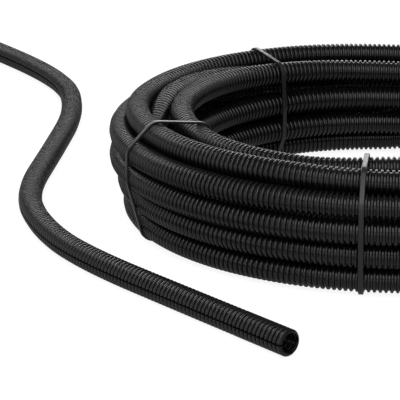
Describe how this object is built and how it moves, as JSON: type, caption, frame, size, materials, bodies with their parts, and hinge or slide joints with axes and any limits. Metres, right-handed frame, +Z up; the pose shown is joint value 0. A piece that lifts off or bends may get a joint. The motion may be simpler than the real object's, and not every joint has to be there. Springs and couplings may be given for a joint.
{
  "type": "corrugated conduit coil",
  "caption": "Coil of split corrugated plastic conduit held by flat ties, with its free end laid over the floor in a loose S to an open, slit mouth.",
  "frame": {"origin": "bottom centre of the coil, on the floor, on the axis of its eye", "axes": "+Z up along the axis of the coil's eye; -Y towards the side that the open end points to; the free end comes round behind the coil and lies along its -X side"},
  "size_m": [0.4714, 0.8158, 0.0629],
  "materials": {
    "conduit": "black satin moulded plastic, corrugated",
    "tie": "black nylon strap, smooth"
  },
  "bodies": {
    "root": {"conduit_coil": "conduit", "conduit_free_end": "conduit", "tie_front": "tie", "tie_left": "tie", "tie_back": "tie", "tie_right_back": "tie", "tie_right": "tie"}
  },
  "joints": []
}
